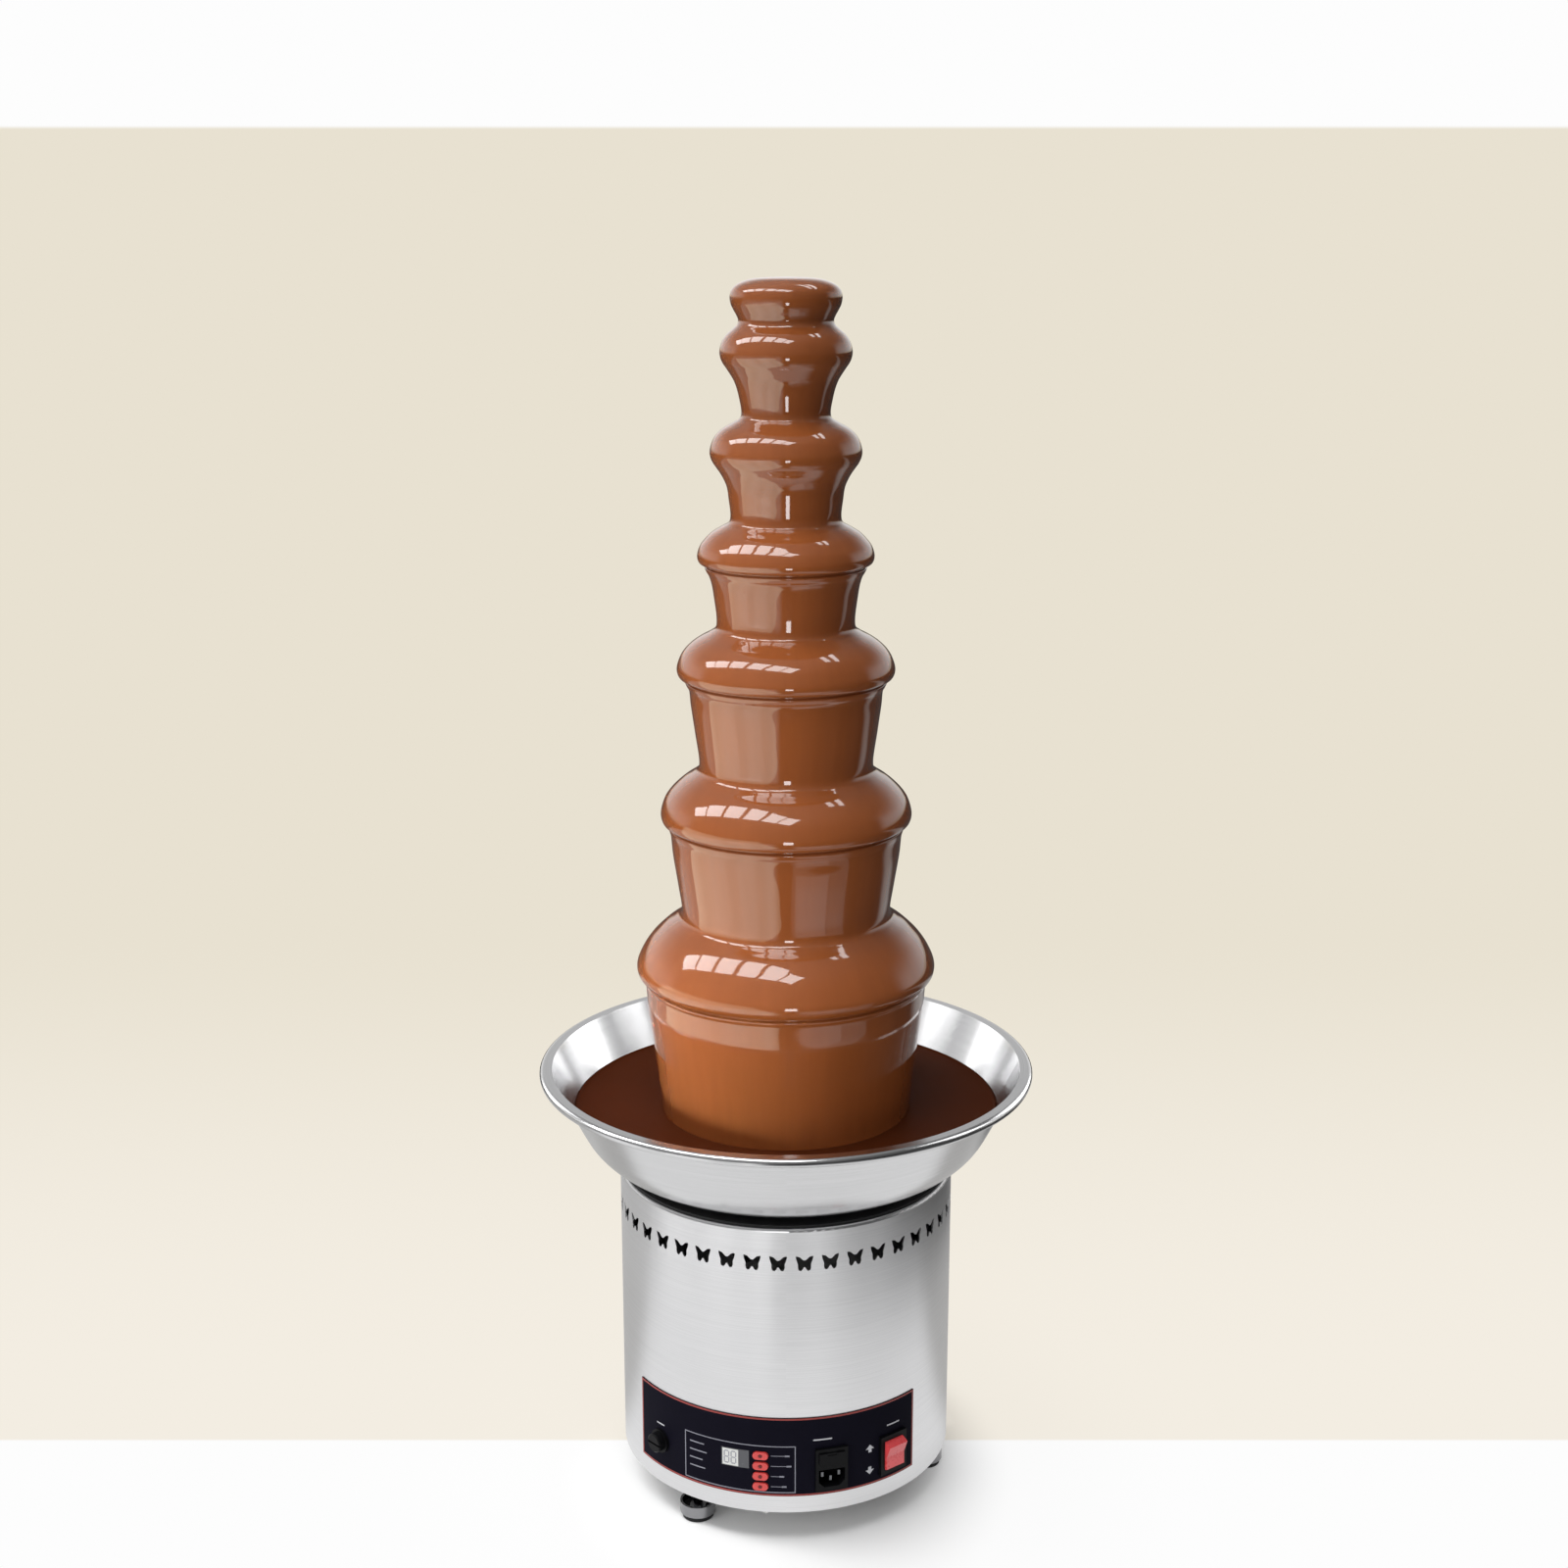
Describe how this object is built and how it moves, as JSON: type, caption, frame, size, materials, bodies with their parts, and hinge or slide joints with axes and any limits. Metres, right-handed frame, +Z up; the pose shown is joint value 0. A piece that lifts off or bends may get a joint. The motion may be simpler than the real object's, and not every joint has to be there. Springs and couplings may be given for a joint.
{
  "type": "chocolate fountain",
  "caption": "Tall catering chocolate fountain: round steel base with drive and control panel, heated bowl, stacked dome tiers, lifting auger and falling chocolate.",
  "frame": {"origin": "on the floor under the tower's axis", "axes": "+Z up along the tower, -Y towards the control panel's side, +X to its right"},
  "size_m": [0.41, 0.4098, 1.0037],
  "materials": {
    "brushed_steel": "brushed",
    "dark_steel": "plain",
    "black_plastic": "moulded",
    "panel_film": "printed",
    "red_plastic": "moulded",
    "display": "smooth",
    "rubber": "matt",
    "bronze": "plain",
    "nylon": "moulded",
    "board": "plain",
    "winding": "plain",
    "laminations": "plain",
    "heater": "cast",
    "milk_chocolate": "wet",
    "dark_chocolate": "wet"
  },
  "bodies": {
    "fountain": {"base_shell": "brushed_steel", "bottom_plate": "brushed_steel", "bottom_screws": "brushed_steel", "foot_nuts": "brushed_steel", "deck_plate": "brushed_steel", "bowl_gasket": "rubber", "bowl": "brushed_steel", "bowl_nuts": "dark_steel", "heater_plate": "heater", "bowl_thermostat": "bronze", "shaft_hub": "brushed_steel", "shaft_seal": "rubber", "shaft_bushes": "bronze", "idler_pin": "brushed_steel", "gear_plate_upper": "brushed_steel", "gear_plate_lower": "brushed_steel", "gear_pillars": "brushed_steel", "drive_screws": "dark_steel", "motor_stator": "laminations", "motor_coil": "winding", "motor_brackets": "brushed_steel", "panel_overlay": "panel_film", "control_board": "board", "display_module": "display", "inlet_body": "black_plastic", "inlet_pins": "bronze", "fuse_holder": "black_plastic", "rocker_housing": "black_plastic", "tower_tube": "brushed_steel", "tier_1": "brushed_steel", "tier_2": "brushed_steel", "tier_3": "brushed_steel", "tier_4": "brushed_steel", "tier_5": "brushed_steel", "tier_6": "brushed_steel", "tier_screws": "dark_steel", "crown": "brushed_steel", "chocolate_pool": "dark_chocolate", "chocolate_curtains": "milk_chocolate", "chocolate_crown": "milk_chocolate"},
    "auger": {"drive_shaft": "brushed_steel", "drive_gear": "bronze", "auger_shaft": "brushed_steel", "auger_flight": "brushed_steel"},
    "idler": {"idler_gear": "nylon"},
    "motor_shaft": {"motor_rotor": "laminations", "motor_pinion": "bronze"},
    "rocker": {"rocker": "red_plastic"},
    "button_1": {"button_1": "red_plastic"},
    "button_2": {"button_2": "red_plastic"},
    "button_3": {"button_3": "red_plastic"},
    "button_4": {"button_4": "red_plastic"},
    "fuse_cap": {"fuse_cap": "black_plastic"},
    "fuse_drawer": {"fuse_drawer": "black_plastic"},
    "foot_1": {"foot_cup_1": "brushed_steel", "foot_pad_1": "rubber"},
    "foot_2": {"foot_cup_2": "brushed_steel", "foot_pad_2": "rubber"},
    "foot_3": {"foot_cup_3": "brushed_steel", "foot_pad_3": "rubber"}
  },
  "joints": [
    {"name": "auger_spin", "type": "hinge", "parent": "fountain", "child": "auger", "pos_m": [0, 0, 0.25], "axis": [0, 0, 1], "continuous": true},
    {"name": "idler_spin", "type": "hinge", "parent": "fountain", "child": "idler", "pos_m": [0, 0.0451, 0.238], "axis": [0, 0, 1], "continuous": true},
    {"name": "motor_spin", "type": "hinge", "parent": "fountain", "child": "motor_shaft", "pos_m": [-0.0376, 0.0451, 0.2], "axis": [0, 0, 1], "continuous": true},
    {"name": "rocker_tilt", "type": "hinge", "parent": "fountain", "child": "rocker", "pos_m": [0.08696, -0.1101, 0.066], "axis": [-0.7848, -0.6198, 0], "range_deg": [0, 20]},
    {"name": "button_1_press", "type": "slide", "parent": "fountain", "child": "button_1", "axis": [0.2419, 0.9703, 0], "range_m": [0, 0.0008], "stiffness_N_per_m": 1500},
    {"name": "button_2_press", "type": "slide", "parent": "fountain", "child": "button_2", "axis": [0.2419, 0.9703, 0], "range_m": [0, 0.0008], "stiffness_N_per_m": 1500},
    {"name": "button_3_press", "type": "slide", "parent": "fountain", "child": "button_3", "axis": [0.2419, 0.9703, 0], "range_m": [0, 0.0008], "stiffness_N_per_m": 1500},
    {"name": "button_4_press", "type": "slide", "parent": "fountain", "child": "button_4", "axis": [0.2419, 0.9703, 0], "range_m": [0, 0.0008], "stiffness_N_per_m": 1500},
    {"name": "fuse_cap_turn", "type": "hinge", "parent": "fountain", "child": "fuse_cap", "pos_m": [-0.10304, -0.09508, 0.0674], "axis": [-0.7349, -0.6782, 0], "range_deg": [0, 60]},
    {"name": "fuse_drawer_slide", "type": "slide", "parent": "fountain", "child": "fuse_drawer", "axis": [0.2605, -0.9655, 0], "range_m": [0, 0.012]},
    {"name": "foot_1_level", "type": "slide", "parent": "fountain", "child": "foot_1", "axis": [0, 0, 1], "range_m": [-0.012, 0]},
    {"name": "foot_2_level", "type": "slide", "parent": "fountain", "child": "foot_2", "axis": [0, 0, 1], "range_m": [-0.012, 0]},
    {"name": "foot_3_level", "type": "slide", "parent": "fountain", "child": "foot_3", "axis": [0, 0, 1], "range_m": [-0.012, 0]}
  ],
  "couplings": [
    {"joint": "idler_spin", "follows": "auger_spin", "ratio": -5},
    {"joint": "motor_spin", "follows": "auger_spin", "ratio": 20}
  ]
}
